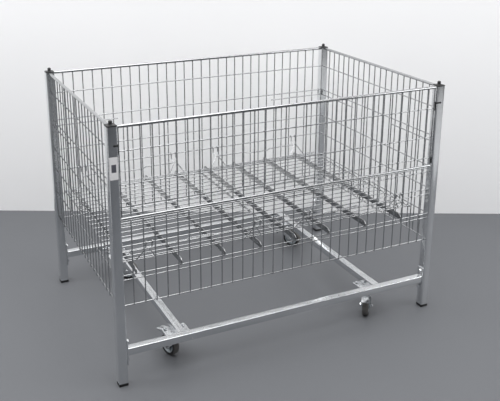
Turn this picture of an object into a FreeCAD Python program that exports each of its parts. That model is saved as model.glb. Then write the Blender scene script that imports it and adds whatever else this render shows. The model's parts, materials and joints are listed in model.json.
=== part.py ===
import FreeCAD, Part
import math
import os

# Wire display bin on casters, with two lift-out wire floors and a fold-down front flap.
# Millimetres. X runs along the long sides, Y from front to back, Z up.
# The origin is on the ground, under the middle of the bin. The front is at -Y.

V = FreeCAD.Vector

# ---- overall ----
LENGTH = 1200.0          # outside of the posts, along X
DEPTH = 800.0            # outside of the posts, along Y
POST_TOP = 850.0         # top of the steel posts

# ---- posts and their plastic ends ----
POST = 30.0              # square tube, outside
POST_WALL = 1.5
CAP_PLATE = 4.0          # top cap above the tube
CAP_EDGE = 1.2
CAP_SPIGOT = 18.0        # part of a cap inside the tube
KNOB_D = 12.0
KNOB_H = 12.0
KNOB_EDGE = 2.0
FOOT_H = 10.0            # foot cap below the tube
FOOT_EDGE = 1.5
INSERT_GAP = 0.2         # between a cap's spigot and the tube wall
SLOT_W = 6.0             # panel slots in the inner faces of the posts
SLOT_Z = (645.0, 670.0)
SLOT_X = 577.0           # slots that face along Y
SLOT_Y = 391.0           # slots that face along X
FLAP_SLOT_Z = (570.0, 591.0)         # the same slots in the front posts, above the hinge holes
CUT_DEPTH = 3.0          # how far a cut reaches to each side of a post's face

# ---- welded wire panels ----
WIRE = 4.0
WELD = 0.3               # how far crossing wires sink into each other
GRID = 37.0              # pitch of the upright wires
FRONT_WIRES = 30
SIDE_WIRES = 19
RAIL_D = 10.0            # thick top wire
RAIL_Z = 847.0
ROWS = (272.0, 373.0, 469.0, 551.0, 667.0, 771.0)
CORNER_ROW = 645.0       # short stiffening wires beside the posts
CORNER_LENGTH = 235.0
LOWER_ROWS = (272.0, 358.0, 373.0, 450.0, 469.0, 536.0, 551.0)
ROW_IN = 5.0             # the lowest row runs this far into a hole in each post
ROW_HOLE_D = 7.0

# ---- front flap ----
HINGE_Y = -391.0
HINGE_Z = 562.0
FLAP_ROD = 8.0
FLAP_ROWS = (590.0, 667.0, 771.0)
FLAP_END = 565.0         # centre of the flap's end wires
PIN_D = 6.0
PIN_FIT = 0.05           # radial clearance of the pins in the posts
PIN_IN = 465.0           # inner end of each hinge pin
PIN_OUT = 583.0          # outer end, inside the post
LATCH_Z = 793.0
LATCH_T = 2.0
LATCH_W = 5.0
LATCH_BUTTON = 7.0
LATCH_X = {-1: 580.0, 1: 584.0}      # the left clip's arm is the shorter one
LATCH_REACH = 10.0       # how far the arm runs back along the inside of the post
LATCH_DROP = 29.0

# ---- underframe ----
BAR = 25.0               # square tube of the rails and cross bars
BAR_WALL = 1.5
FRAME_Z = 116.0          # centre height of the rails
CROSS_X = 377.0          # centre of each cross bar
PLATE_T = 4.0
PLATE_H = 88.0
BOLT_OFFSET = 31.0
BOLT_D = 8.0
BOLT_AF = 13.0
BOLT_HEAD = 5.3
NUT_H = 6.5
BOLT_END = 2.0           # how far a rail bolt stands out of its nut
BOLT_FIT = 0.2

# ---- casters ----
CASTER_Y = 322.0         # distance of the swivel axes from the middle
WHEEL_D = 75.0
TYRE_W = 23.0
HUB_D = 54.0
HUB_W = 29.2
AXLE_D = 8.0
AXLE_FIT = 0.05
TRAIL = 38.0             # from the swivel axis to the axle
FORK_T = 2.5
FORK_IN = 30.0           # between the fork cheeks
CROWN_Z = 83.0           # top of the fork crown
RACE_D = 46.0
RACE_GAP = 0.4
RACE_Z = 89.0            # split between the two halves of the swivel race
CASTER_PLATE = (84.0, 70.0, 2.5)
CASTER_PLATE_Z = 98.0
MOUNT_T = 3.0
CASTER_BOLT = (32.0, 25.0)
CASTER_BOLT_D = 6.0
CASTER_AF = 10.0
CASTER_HEAD = 4.0
CASTER_NUT = 5.0
CASTER_BOLT_END = 7.0    # how far a plate bolt stands above the mount plate
CROWN_X = (-18.0, 24.0)  # reach of the fork crown along the trail
CROWN_LIP = 9.0          # height of the cheeks at the back of the crown
CHEEK_FRONT = (50.0, 40.0)
CHEEK_BACK = (27.0, 31.0)
AXLE_BOSS_D = 24.0
AXLE_HEAD = 5.0
AXLE_END = 8.0           # how far the axle stands out of the fork on the nut's side
KINGPIN_D = 10.0
KINGPIN_HEAD_D = 17.0
KINGPIN_DROP = 6.0       # from the crown's top to the underside of the rivet head
TYRE_EDGE = 4.0
HUB_RIM = 4.0
HUB_DISH = 6.0
HUB_BOSS_D = 20.0

# brake pedal and the lugs that carry it: (x, z) from the pivot, or from the swivel axis for the lugs' root
PEDAL_PIVOT = (52.0, 80.0)
PEDAL_PIN_D = 5.0
PEDAL_T = 2.0
PEDAL_GAP = 0.5          # between the pedal's flanges and the fork
PEDAL_TREAD = ((-5, 4), (8, 6), (42, -2), (42, -4), (8, 3.5), (-5, 2))
PEDAL_FLANGE = ((-5, -4), (-5, 4), (8, 5), (30, -1), (30, -5), (8, -5))
LUG_ROOT = ((18, CROWN_Z), (22, CROWN_Z - 12))
LUG_END = ((2, -6), (6, 0), (2, 6), (-8, 5))

# the direction in which each caster trails at rest, in degrees from +X
CASTERS = {
    "front_left": (-1, -1, 107.0, True),
    "front_right": (1, -1, -128.0, True),
    "back_left": (-1, 1, -35.0, False),
    "back_right": (1, 1, -55.0, False),
}

# ---- wire floor, in two halves ----
FLOOR_Z = 398.0          # centre of the long floor wires
FLOOR_PITCH = 36.0
FLOOR_WIRES = 20
FLOOR_LENGTH = 548.0
EDGE_STEP = 12.0         # second wire beside each long edge
FLOOR_START = {"left": -567.0, "right": -18.0}
FLOOR_BARS = {"left": (-527.0, -379.0, -231.0, -102.0), "right": (28.0, 157.0, 305.0, 453.0)}
HANGERS = {"left": (-481.0, -111.0), "right": (74.0, 444.0)}
FBAR_T = 3.0
FBAR_BOTTOM = 375.5
FBAR_TOP = 396.0
FBAR_END = 392.0         # the bars' ends rest on a panel row and reach out between the upright wires
FBAR_ROUND = 16.0        # radius of their upper corners
FBAR_NOSE = 2.5          # chamfer of their lower corners
HANGER_ROW = 469.0
HANGER_GAP = 0.5
HANGER_TIP = 4.0         # how far a prong's end drops behind the row
PRONG = 10.0             # half the distance between a hanger's two prongs
PRONG_RISE = 12.0        # height of the bend above the bail
FOOT_SPREAD = 32.0
KNEE_OUT = 16.0          # from a hanger's foot to its knee, along Y
KNEE_SPREAD = 5.0
BAIL_Z = 438.0
BAIL_STEP = 18.0         # the bail's middle is bent inwards by this
BAIL_SLOPE = 22.0

# ---- worked out ----
PX = (LENGTH - POST) / 2
PY = (DEPTH - POST) / 2
IN_X = LENGTH / 2 - POST
IN_Y = DEPTH / 2 - POST
CORNERS = {
    "front_left": (-1, -1),
    "front_right": (1, -1),
    "back_left": (-1, 1),
    "back_right": (1, 1),
}
ROW_OFFSET = WIRE - WELD          # rows lie this far inside the upright wires
UPRIGHT_OUT = 2.0                 # upright wires stand this far outside the post centres
PLATE_X = IN_X - PLATE_T


def box(x0, x1, y0, y1, z0, z1):
    return Part.makeBox(x1 - x0, y1 - y0, z1 - z0, V(x0, y0, z0))


def centred(x, y, size_x, size_y, z0, z1):
    return box(x - size_x / 2, x + size_x / 2, y - size_y / 2, y + size_y / 2, z0, z1)


def rod(start, end, diameter):
    start, end = V(*start), V(*end)
    way = end - start
    return Part.makeCylinder(diameter / 2, way.Length, start, way)


def bent_rod(points, diameter):
    """Straight rods through the points, with a ball at every bend."""
    pieces = [rod(a, b, diameter) for a, b in zip(points, points[1:])]
    balls = [Part.makeSphere(diameter / 2, V(*p)) for p in points[1:-1]]
    return weld(pieces + balls)


def weld(shapes):
    joined = shapes[0].fuse(shapes[1:]) if len(shapes) > 1 else shapes[0]
    return joined.removeSplitter()


def edges_at(shape, z):
    return [edge for edge in shape.Edges if abs(edge.CenterOfMass.z - z) < 0.01]


def outline_plate(points, y, thickness):
    """A flat plate cut to an outline of (x, z) points, from y towards +Y."""
    outline = Part.makePolygon([V(x, y, z) for x, z in points + points[:1]])
    return Part.Face(outline).extrude(V(0, thickness, 0))


def from_pivot(points):
    x, z = PEDAL_PIVOT
    return [(x + a, z + b) for a, b in points]


def hexagon(centre, axis, across_flats, height):
    radius = across_flats / math.sqrt(3)
    corners = [V(radius * math.cos(math.radians(60 * i)), radius * math.sin(math.radians(60 * i)), 0)
               for i in range(7)]
    prism = Part.Face(Part.makePolygon(corners)).extrude(V(0, 0, height))
    prism.Placement = FreeCAD.Placement(V(*centre), FreeCAD.Rotation(V(0, 0, 1), V(*axis)))
    return prism


def save(name, *shapes):
    solids = [solid for shape in shapes for solid in shape.Solids]
    node = solids[0] if len(solids) == 1 else Part.makeCompound(solids)
    node.exportStep("parts/%s.step" % name)


# ---- posts ----

def slot(x, y, along_x, width, z0, z1):
    """A round-ended slot through a post's face, cut along X or along Y."""
    dx, dy = (CUT_DEPTH, 0) if along_x else (0, CUT_DEPTH)
    low, high = z0 + width / 2, z1 - width / 2
    ends = [rod((x - dx, y - dy, z), (x + dx, y + dy, z), width) for z in (low, high)]
    size_x, size_y = (2 * dx or width), (2 * dy or width)
    return weld([centred(x, y, size_x, size_y, low, high)] + ends)


def post(sx, sy):
    """Square tube with bolt holes, row holes and panel slots; the front pair has the hinge holes."""
    x, y = sx * PX, sy * PY
    bore = POST - 2 * POST_WALL
    face_x, face_y = sx * IN_X, sy * IN_Y
    row_x, row_y = sx * (PX + UPRIGHT_OUT - ROW_OFFSET), sy * (PY + UPRIGHT_OUT - ROW_OFFSET)

    def hole_in_x(at_y, z, diameter):
        return rod((face_x - CUT_DEPTH, at_y, z), (face_x + CUT_DEPTH, at_y, z), diameter)

    cuts = [centred(x, y, bore, bore, FOOT_H, POST_TOP)]
    cuts += [hole_in_x(y, FRAME_Z + dz, BOLT_D + 2 * BOLT_FIT) for dz in (-BOLT_OFFSET, BOLT_OFFSET)]
    cuts.append(hole_in_x(row_y, ROWS[0], ROW_HOLE_D))
    cuts.append(rod((row_x, face_y - CUT_DEPTH, ROWS[0]), (row_x, face_y + CUT_DEPTH, ROWS[0]), ROW_HOLE_D))
    cuts.append(slot(sx * SLOT_X, face_y, False, SLOT_W, *SLOT_Z))
    cuts.append(slot(face_x, sy * SLOT_Y, True, SLOT_W, *(SLOT_Z if sy > 0 else FLAP_SLOT_Z)))
    if sy < 0:
        cuts.append(hole_in_x(HINGE_Y, HINGE_Z, PIN_D + 2 * PIN_FIT))
    return centred(x, y, POST, POST, FOOT_H, POST_TOP).cut(cuts)


def cap_spigot(x, y, z0, z1):
    size = POST - 2 * POST_WALL - 2 * INSERT_GAP
    return centred(x, y, size, size, z0, z1)


def top_cap(sx, sy):
    x, y = sx * PX, sy * PY
    top = POST_TOP + CAP_PLATE
    plate = centred(x, y, POST, POST, POST_TOP, top)
    plate = plate.makeChamfer(CAP_EDGE, edges_at(plate, top))
    knob = rod((x, y, top), (x, y, top + KNOB_H), KNOB_D)
    knob = knob.makeFillet(KNOB_EDGE, edges_at(knob, top + KNOB_H))
    return weld([plate, knob, cap_spigot(x, y, POST_TOP - CAP_SPIGOT, POST_TOP)])


def foot_cap(sx, sy):
    x, y = sx * PX, sy * PY
    shoe = centred(x, y, POST, POST, 0, FOOT_H)
    shoe = shoe.makeChamfer(FOOT_EDGE, edges_at(shoe, 0))
    return weld([shoe, cap_spigot(x, y, FOOT_H, FOOT_H + CAP_SPIGOT)])


# ---- panels: drawn along X at y = 0 with the bin's inside towards +Y ----

def uprights(count, z0, z1):
    start = -GRID * (count - 1) / 2
    return [rod((start + GRID * i, 0, z0), (start + GRID * i, 0, z1), WIRE) for i in range(count)]


def rows(heights, half):
    """Cross wires. The lowest row of a fixed panel runs on into the posts."""
    ends = [half + ROW_IN if z == ROWS[0] else half for z in heights]
    return [rod((-end, ROW_OFFSET, z), (end, ROW_OFFSET, z), WIRE) for z, end in zip(heights, ends)]


def corner_rows(half):
    """The short extra wires that start at each post."""
    inner = half - CORNER_LENGTH
    return [rod((s * inner, ROW_OFFSET, CORNER_ROW), (s * half, ROW_OFFSET, CORNER_ROW), WIRE)
            for s in (-1, 1)]


def full_panel(count, half):
    wires = uprights(count, ROWS[0] - WIRE / 2, RAIL_Z)
    rail = rod((-half, 0, RAIL_Z), (half, 0, RAIL_Z), RAIL_D)
    return weld(wires + rows(ROWS, half) + corner_rows(half) + [rail])


def lower_panel():
    wires = uprights(FRONT_WIRES, LOWER_ROWS[0] - WIRE / 2, LOWER_ROWS[-1] + WIRE / 2)
    return weld(wires + rows(LOWER_ROWS, IN_X))


def flap():
    """The front flap, drawn in the same way; its bottom rod is the hinge line."""
    wires = uprights(FRONT_WIRES, HINGE_Z, RAIL_Z)
    wires += [rod((s * FLAP_END, 0, HINGE_Z), (s * FLAP_END, 0, RAIL_Z), WIRE) for s in (-1, 1)]
    end = FLAP_END + WIRE / 2
    rail = rod((-end, 0, RAIL_Z), (end, 0, RAIL_Z), RAIL_D)
    bottom_y = HINGE_Y + PY + UPRIGHT_OUT
    bottom = rod((-end, bottom_y, HINGE_Z), (end, bottom_y, HINGE_Z), FLAP_ROD)
    skin = weld(wires + rows(FLAP_ROWS, end) + [rail, bottom])
    bores = [rod((s * PIN_IN, bottom_y, HINGE_Z), (s * (end + 1), bottom_y, HINGE_Z), PIN_D)
             for s in (-1, 1)]
    return skin.cut(bores)


def stand(panel, side):
    """Turns a panel drawn at the front line to its own side of the bin."""
    turned = panel.copy()
    if side == "front":
        turned.translate(V(0, -PY - UPRIGHT_OUT, 0))
    elif side == "back":
        turned.rotate(V(0, 0, 0), V(0, 0, 1), 180)
        turned.translate(V(0, PY + UPRIGHT_OUT, 0))
    elif side == "left":
        turned.rotate(V(0, 0, 0), V(0, 0, 1), -90)
        turned.translate(V(-PX - UPRIGHT_OUT, 0, 0))
    else:
        turned.rotate(V(0, 0, 0), V(0, 0, 1), 90)
        turned.translate(V(PX + UPRIGHT_OUT, 0, 0))
    return turned


def hinge_pins():
    return [rod((s * PIN_IN, HINGE_Y, HINGE_Z), (s * PIN_OUT, HINGE_Y, HINGE_Z), PIN_D)
            for s in (-1, 1)]


def latch(s):
    """A plastic clip on a front post: button, arm round the corner, hook down the inside."""
    face = -DEPTH / 2
    front = face - LATCH_T
    end = s * LATCH_X[s]
    button = rod((end, face, LATCH_Z), (end, front, LATCH_Z), LATCH_BUTTON)
    x0, x1 = sorted((s * IN_X, s * (IN_X - LATCH_T)))
    z0, z1 = LATCH_Z - LATCH_W / 2, LATCH_Z + LATCH_W / 2
    arm = box(min(end, x0), max(end, x1), front, face, z0, z1)
    side = box(x0, x1, front, face + LATCH_REACH, z0, z1)
    hook = box(x0, x1, face + LATCH_REACH - LATCH_W, face + LATCH_REACH, LATCH_Z - LATCH_DROP, z0)
    return weld([button, arm, side, hook])


# ---- underframe ----

def tube_x(y):
    outer = box(-PLATE_X, PLATE_X, y - BAR / 2, y + BAR / 2, FRAME_Z - BAR / 2, FRAME_Z + BAR / 2)
    half = BAR / 2 - BAR_WALL
    return outer.cut(box(-PLATE_X, PLATE_X, y - half, y + half, FRAME_Z - half, FRAME_Z + half))


def tube_y(x):
    end = PY - BAR / 2
    outer = box(x - BAR / 2, x + BAR / 2, -end, end, FRAME_Z - BAR / 2, FRAME_Z + BAR / 2)
    half = BAR / 2 - BAR_WALL
    return outer.cut(box(x - half, x + half, -end, end, FRAME_Z - half, FRAME_Z + half))


def end_plate(sx, sy):
    y = sy * PY
    x0, x1 = sorted((sx * PLATE_X, sx * IN_X))
    plate = box(x0, x1, y - POST / 2, y + POST / 2, FRAME_Z - PLATE_H / 2, FRAME_Z + PLATE_H / 2)
    for dz in (-BOLT_OFFSET, BOLT_OFFSET):
        z = FRAME_Z + dz
        plate = plate.cut(rod((x0 - 1, y, z), (x1 + 1, y, z), BOLT_D + 2 * BOLT_FIT))
    return plate


def rail_bolt(sx, sy, dz):
    y, z = sy * PY, FRAME_Z + dz
    tip = IN_X + POST_WALL + NUT_H + BOLT_END
    head = hexagon((sx * PLATE_X, y, z), (-sx, 0, 0), BOLT_AF, BOLT_HEAD)
    return weld([head, rod((sx * PLATE_X, y, z), (sx * tip, y, z), BOLT_D)])


def rail_nut(sx, sy, dz):
    y, z = sy * PY, FRAME_Z + dz
    start = IN_X + POST_WALL
    body = hexagon((sx * start, y, z), (sx, 0, 0), BOLT_AF, NUT_H)
    return body.cut(rod((sx * start, y, z), (sx * (start + NUT_H), y, z), BOLT_D))


# ---- casters: drawn at the swivel axis, trailing along +X ----

def bolt_holes(plate, z0, z1):
    """Cuts the four bolt holes of a caster's plates."""
    x, y = CASTER_BOLT
    return plate.cut([rod((i * x, j * y, z0 - 1), (i * x, j * y, z1 + 1), CASTER_BOLT_D + 2 * BOLT_FIT)
                      for i in (-1, 1) for j in (-1, 1)])


def caster_plate():
    length, width, thick = CASTER_PLATE
    top = CASTER_PLATE_Z + thick
    plate = centred(0, 0, length, width, CASTER_PLATE_Z, top)
    race = rod((0, 0, RACE_Z + RACE_GAP), (0, 0, CASTER_PLATE_Z), RACE_D)
    body = weld([plate, race]).cut(rod((0, 0, RACE_Z), (0, 0, top + 1), KINGPIN_D))
    return bolt_holes(body, CASTER_PLATE_Z, top)


def mount_plate():
    length, width, thick = CASTER_PLATE
    z0 = CASTER_PLATE_Z + thick
    return bolt_holes(centred(0, 0, length, width, z0, z0 + MOUNT_T), z0, z0 + MOUNT_T)


def caster_bolt(i, j):
    x, y = i * CASTER_BOLT[0], j * CASTER_BOLT[1]
    top = CASTER_PLATE_Z + CASTER_PLATE[2] + MOUNT_T
    head = hexagon((x, y, CASTER_PLATE_Z), (0, 0, -1), CASTER_AF, CASTER_HEAD)
    shank = rod((x, y, CASTER_PLATE_Z), (x, y, top + CASTER_BOLT_END), CASTER_BOLT_D)
    nut = hexagon((x, y, top), (0, 0, 1), CASTER_AF, CASTER_NUT)
    nut = nut.cut(rod((x, y, top), (x, y, top + CASTER_NUT), CASTER_BOLT_D))
    return [weld([head, shank]), nut]


def kingpin():
    """The rivet that holds the fork up under the plate."""
    top = CASTER_PLATE_Z + CASTER_PLATE[2]
    bottom = CROWN_Z - KINGPIN_DROP
    shank = rod((0, 0, bottom), (0, 0, top), KINGPIN_D)
    head = rod((0, 0, bottom), (0, 0, CROWN_Z - FORK_T - RACE_GAP), KINGPIN_HEAD_D)
    return weld([head, shank])


def fork():
    half = FORK_IN / 2
    wheel_r = WHEEL_D / 2
    back, front = CROWN_X
    cheek = [(back, CROWN_Z), (front, CROWN_Z), CHEEK_FRONT, CHEEK_BACK, (back, CROWN_Z - CROWN_LIP)]
    cheeks = []
    for y in (-half - FORK_T, half):
        boss = rod((TRAIL, y, wheel_r), (TRAIL, y + FORK_T, wheel_r), AXLE_BOSS_D)
        cheeks.append(outline_plate(cheek, y, FORK_T).fuse(boss))
    crown = box(back, front, -half, half, CROWN_Z - FORK_T, CROWN_Z)
    race = rod((0, 0, CROWN_Z), (0, 0, RACE_Z), RACE_D)
    body = weld([crown, race] + cheeks)
    body = body.cut(rod((0, 0, CROWN_Z - FORK_T - 1), (0, 0, RACE_Z + 1), KINGPIN_D + 2 * AXLE_FIT))
    reach = half + FORK_T + 1
    return body.cut(rod((TRAIL, -reach, wheel_r), (TRAIL, reach, wheel_r), AXLE_D))


def braked_fork():
    """A fork with two small lugs that carry the brake pedal's pin."""
    half = FORK_IN / 2
    lug = list(LUG_ROOT) + from_pivot(LUG_END)
    body = weld([fork()] + [outline_plate(lug, y, FORK_T) for y in (-half - FORK_T, half)])
    return body.cut(pivot_rod(FORK_IN / 2 + FORK_T + 1, PEDAL_PIN_D))


def pivot_rod(reach, diameter):
    """A rod on the pedal's pivot line."""
    x, z = PEDAL_PIVOT
    return rod((x, -reach, z), (x, reach, z), diameter)


def axle_bolt():
    half = FORK_IN / 2 + FORK_T
    z = WHEEL_D / 2
    shank = rod((TRAIL, -half, z), (TRAIL, half + AXLE_END, z), AXLE_D)
    head = hexagon((TRAIL, -half, z), (0, -1, 0), BOLT_AF, AXLE_HEAD)
    nut = hexagon((TRAIL, half, z), (0, 1, 0), BOLT_AF, NUT_H)
    return weld([shank, head, nut])


def tyre():
    z = WHEEL_D / 2
    ring = rod((TRAIL, -TYRE_W / 2, z), (TRAIL, TYRE_W / 2, z), WHEEL_D)
    ring = ring.makeFillet(TYRE_EDGE, [e for e in ring.Edges if isinstance(e.Curve, Part.Circle)])
    return ring.cut(rod((TRAIL, -TYRE_W, z), (TRAIL, TYRE_W, z), HUB_D))


def hub():
    z = WHEEL_D / 2
    disc = rod((TRAIL, -TYRE_W / 2, z), (TRAIL, TYRE_W / 2, z), HUB_D)
    for s in (-1, 1):
        floor, mouth = s * (TYRE_W / 2 - HUB_DISH), s * (TYRE_W / 2 + 1)
        disc = disc.cut(rod((TRAIL, floor, z), (TRAIL, mouth, z), HUB_D - 2 * HUB_RIM))
    boss = rod((TRAIL, -HUB_W / 2, z), (TRAIL, HUB_W / 2, z), HUB_BOSS_D)
    body = weld([disc, boss])
    return body.cut(rod((TRAIL, -HUB_W, z), (TRAIL, HUB_W, z), AXLE_D + 2 * AXLE_FIT))


def pedal():
    """A pressed tread with two side flanges and a bore for its pin."""
    half = FORK_IN / 2 - PEDAL_GAP
    tread = outline_plate(from_pivot(PEDAL_TREAD), -half, 2 * half)
    flanges = [outline_plate(from_pivot(PEDAL_FLANGE), y, PEDAL_T) for y in (-half, half - PEDAL_T)]
    body = weld([tread] + flanges)
    return body.cut(pivot_rod(FORK_IN / 2 + FORK_T + 1, PEDAL_PIN_D + 2 * AXLE_FIT))


def place_caster(shape, name):
    sx, sy, heading, _ = CASTERS[name]
    moved = shape.copy()
    moved.rotate(V(0, 0, 0), V(0, 0, 1), heading)
    moved.translate(V(sx * CROSS_X, sy * CASTER_Y, 0))
    return moved


def place_plate(shape, name):
    sx, sy, _, _ = CASTERS[name]
    moved = shape.copy()
    moved.translate(V(sx * CROSS_X, sy * CASTER_Y, 0))
    return moved


# ---- floor ----

def floor_mesh(side):
    x0 = FLOOR_START[side]
    x1 = x0 + FLOOR_LENGTH
    edge = FLOOR_PITCH * (FLOOR_WIRES - 1) / 2
    lines = [-edge + FLOOR_PITCH * i for i in range(FLOOR_WIRES)]
    lines += [-edge + EDGE_STEP, edge - EDGE_STEP]
    wires = [rod((x0, y, FLOOR_Z), (x1, y, FLOOR_Z), WIRE) for y in lines]
    end_z = FLOOR_Z - ROW_OFFSET
    ends = [rod((x, -edge - WIRE / 2, end_z), (x, edge + WIRE / 2, end_z), WIRE)
            for x in (x0 + WIRE / 2, x1 - WIRE / 2)]
    return weld(wires + ends)


def floor_bar(x):
    """A flat bar on edge, with its upper corners rounded off."""
    angles = [math.radians(15 * i) for i in range(7)]
    end = [(FBAR_END - FBAR_ROUND * (1 - math.sin(a)), FBAR_TOP - FBAR_ROUND * (1 - math.cos(a))) for a in angles]
    end += [(FBAR_END, FBAR_BOTTOM + FBAR_NOSE), (FBAR_END - FBAR_NOSE, FBAR_BOTTOM)]
    points = [V(x - FBAR_T / 2, -y, z) for y, z in end] + [V(x - FBAR_T / 2, y, z) for y, z in reversed(end)]
    return Part.Face(Part.makePolygon(points + points[:1])).extrude(V(FBAR_T, 0, 0))


def hanger_frame(side, s):
    """Two splayed hangers that hook over a panel row, joined by a bent bail."""
    row_y = PY + UPRIGHT_OUT - ROW_OFFSET
    reach = WIRE + HANGER_GAP
    foot_y = FLOOR_PITCH * (FLOOR_WIRES - 1) / 2 + WIRE - WELD
    knee_y = foot_y + KNEE_OUT
    pieces = []
    for x in HANGERS[side]:
        for t in (-1, 1):
            prong_x = x + t * PRONG
            leg = [(x + t * FOOT_SPREAD, s * foot_y, FLOOR_Z), (x + t * KNEE_SPREAD, s * knee_y, BAIL_Z),
                   (prong_x, s * (row_y - reach), BAIL_Z + PRONG_RISE),
                   (prong_x, s * (row_y - reach), HANGER_ROW)]
            over = [(prong_x, s * (row_y - reach * math.cos(math.radians(a))),
                     HANGER_ROW + reach * math.sin(math.radians(a))) for a in (45, 90, 135, 180)]
            tip = [(prong_x, s * (row_y + reach), HANGER_ROW - HANGER_TIP)]
            pieces.append(bent_rod(leg + over + tip, WIRE))
    a, b = HANGERS[side]
    third = (b - a) / 3
    front, back = s * knee_y, s * (knee_y - BAIL_STEP)
    bail = [(a - KNEE_SPREAD, front, BAIL_Z), (a + third, front, BAIL_Z),
            (a + third + BAIL_SLOPE, back, BAIL_Z), (b - third - BAIL_SLOPE, back, BAIL_Z),
            (b - third, front, BAIL_Z), (b + KNEE_SPREAD, front, BAIL_Z)]
    return weld(pieces + [bent_rod(bail, WIRE)])


def build():
    os.makedirs("parts", exist_ok=True)
    for name, (sx, sy) in CORNERS.items():
        save("post_" + name, post(sx, sy))
        save("top_cap_" + name, top_cap(sx, sy))
        save("foot_cap_" + name, foot_cap(sx, sy))

    save("panel_back", stand(full_panel(FRONT_WIRES, IN_X), "back"))
    save("panel_left", stand(full_panel(SIDE_WIRES, IN_Y), "left"))
    save("panel_right", stand(full_panel(SIDE_WIRES, IN_Y), "right"))
    save("panel_front_lower", stand(lower_panel(), "front"))
    save("front_flap", stand(flap(), "front"))
    save("flap_hinge_pins", *hinge_pins())
    save("flap_latch_clips", latch(-1), latch(1))

    save("front_rail", tube_x(-PY))
    save("back_rail", tube_x(PY))
    save("cross_bar_left", tube_y(-CROSS_X))
    save("cross_bar_right", tube_y(CROSS_X))
    save("rail_end_plates", *[end_plate(sx, sy) for sx, sy in CORNERS.values()])
    ends = [(sx, sy, dz) for sx, sy in CORNERS.values() for dz in (-BOLT_OFFSET, BOLT_OFFSET)]
    save("rail_bolts", *[rail_bolt(*end) for end in ends])
    save("rail_nuts", *[rail_nut(*end) for end in ends])

    save("caster_mount_plates", *[place_plate(mount_plate(), name) for name in CASTERS])
    bolts = [piece for i in (-1, 1) for j in (-1, 1) for piece in caster_bolt(i, j)]
    save("caster_bolts", *[place_plate(piece, name) for name in CASTERS for piece in bolts])
    save("caster_kingpins", *[place_plate(kingpin(), name) for name in CASTERS])
    for name, (_, _, _, brake) in CASTERS.items():
        pieces = [braked_fork(), pivot_rod(FORK_IN / 2 + FORK_T, PEDAL_PIN_D)] if brake else [fork()]
        save("caster_plate_" + name, place_plate(caster_plate(), name))
        save("caster_fork_" + name, *[place_caster(piece, name) for piece in pieces])
        save("caster_axle_" + name, place_caster(axle_bolt(), name))
        save("wheel_hub_" + name, place_caster(hub(), name))
        save("wheel_tyre_" + name, place_caster(tyre(), name))
        if brake:
            save("brake_pedal_" + name, place_caster(pedal(), name))

    for side in ("left", "right"):
        save("floor_mesh_" + side, floor_mesh(side))
        save("floor_bars_" + side, *[floor_bar(x) for x in FLOOR_BARS[side]])
        save("floor_hanger_%s_front" % side, hanger_frame(side, -1))
        save("floor_hanger_%s_back" % side, hanger_frame(side, 1))


build()
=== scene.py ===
import json
import math
import random

import bmesh
import bpy
from mathutils import Matrix, Vector


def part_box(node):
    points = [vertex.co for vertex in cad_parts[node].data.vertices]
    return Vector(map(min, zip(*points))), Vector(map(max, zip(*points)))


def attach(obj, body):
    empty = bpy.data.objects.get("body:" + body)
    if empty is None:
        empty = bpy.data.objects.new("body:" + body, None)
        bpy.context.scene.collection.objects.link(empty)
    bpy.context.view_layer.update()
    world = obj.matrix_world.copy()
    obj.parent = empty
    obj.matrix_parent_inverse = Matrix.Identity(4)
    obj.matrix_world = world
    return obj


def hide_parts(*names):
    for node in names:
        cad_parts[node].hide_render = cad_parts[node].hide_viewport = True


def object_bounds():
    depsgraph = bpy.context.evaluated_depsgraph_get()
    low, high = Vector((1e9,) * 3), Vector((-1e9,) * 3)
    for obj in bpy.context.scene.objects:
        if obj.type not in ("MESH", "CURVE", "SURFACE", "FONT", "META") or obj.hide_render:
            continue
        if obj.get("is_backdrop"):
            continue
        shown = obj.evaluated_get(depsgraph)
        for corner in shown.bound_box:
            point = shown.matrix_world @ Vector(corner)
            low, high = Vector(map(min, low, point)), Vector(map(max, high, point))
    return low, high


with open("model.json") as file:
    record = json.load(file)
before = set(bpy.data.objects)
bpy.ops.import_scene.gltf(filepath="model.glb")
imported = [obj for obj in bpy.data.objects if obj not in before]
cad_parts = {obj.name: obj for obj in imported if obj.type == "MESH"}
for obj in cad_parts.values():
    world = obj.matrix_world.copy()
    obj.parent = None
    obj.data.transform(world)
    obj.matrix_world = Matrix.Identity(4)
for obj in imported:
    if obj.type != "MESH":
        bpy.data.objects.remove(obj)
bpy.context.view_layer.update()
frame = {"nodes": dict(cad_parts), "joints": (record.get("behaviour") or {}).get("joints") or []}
joints = {joint["name"]: joint for joint in frame["joints"]}
X, Y, Z = Vector((1, 0, 0)), Vector((0, 1, 0)), Vector((0, 0, 1))

# ---------------------------------------------------------------------------------------------
# The stage: a plain floor and a white wall close behind the bin. The wall shows its front only, so
# it doesn't hide the bin in views from behind. Three soft boxes, two bounce panels on the floor and
# a dim room give the light.
HEADING = math.radians(26.3)
WALL_DISTANCE = 0.81
FLOOR_HALF = 9.0
WALL_HALF = 6.0
WALL_MIDDLE = 3.0


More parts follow.
